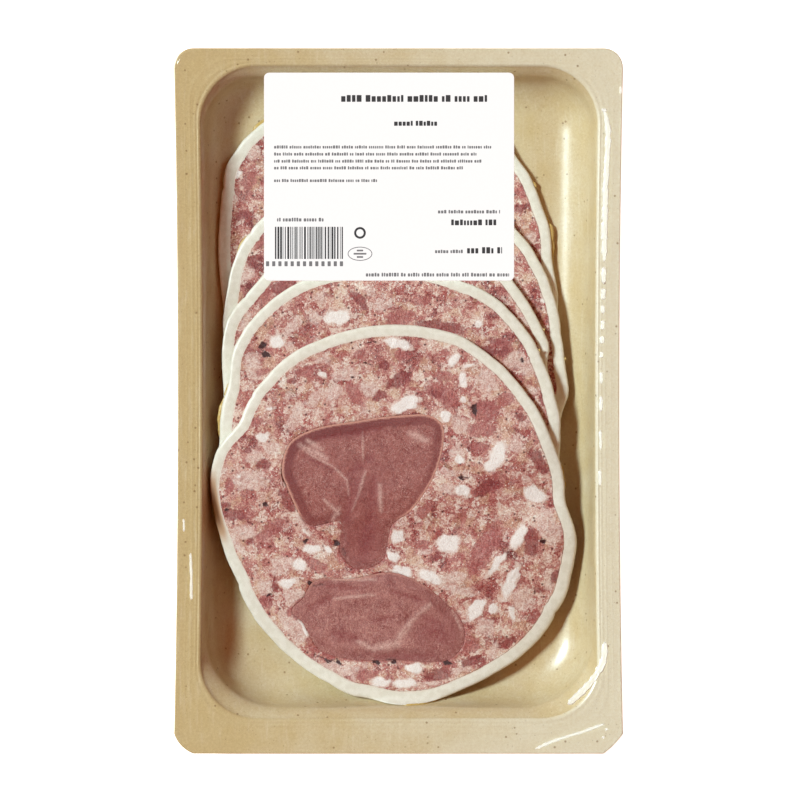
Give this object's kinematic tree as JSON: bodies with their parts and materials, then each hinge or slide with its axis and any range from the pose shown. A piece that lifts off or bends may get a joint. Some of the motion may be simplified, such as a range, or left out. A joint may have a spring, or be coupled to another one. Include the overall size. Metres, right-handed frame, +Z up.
{
  "type": "sliced pork head and tongue roulade in a sealed shelf pack",
  "caption": "Shelf pack of round pork head and tongue slices fanned in a sand-coloured formed tray, under a clear sealed lid film with a plain white label.",
  "frame": {"origin": "middle of the pack's box, on the surface that the tray's floor stands on", "axes": "+X across the pack, +Y along the pack towards the end with the label, +Z up out of the tray, towards the lid film"},
  "size_m": [0.1526, 0.24, 0.0189],
  "materials": {
    "tray_plastic": "sand-coloured formed sheet with fine dark specks, slightly glossy",
    "meat": "moist pressed meat, pink with pale fat and a cream rind",
    "tongue": "moist dark pink muscle",
    "clear_film": "clear stretched film",
    "label_paper": "smooth white coated paper with plain dark bars"
  },
  "bodies": {
    "root": {"tray": "tray_plastic", "slice_1": "meat", "slice_2": "meat", "slice_3": "meat", "slice_4": "meat", "slice_5": "meat", "tongue_upper": "tongue", "tongue_lower": "tongue", "lid_film": "clear_film", "label": "label_paper"}
  },
  "joints": []
}
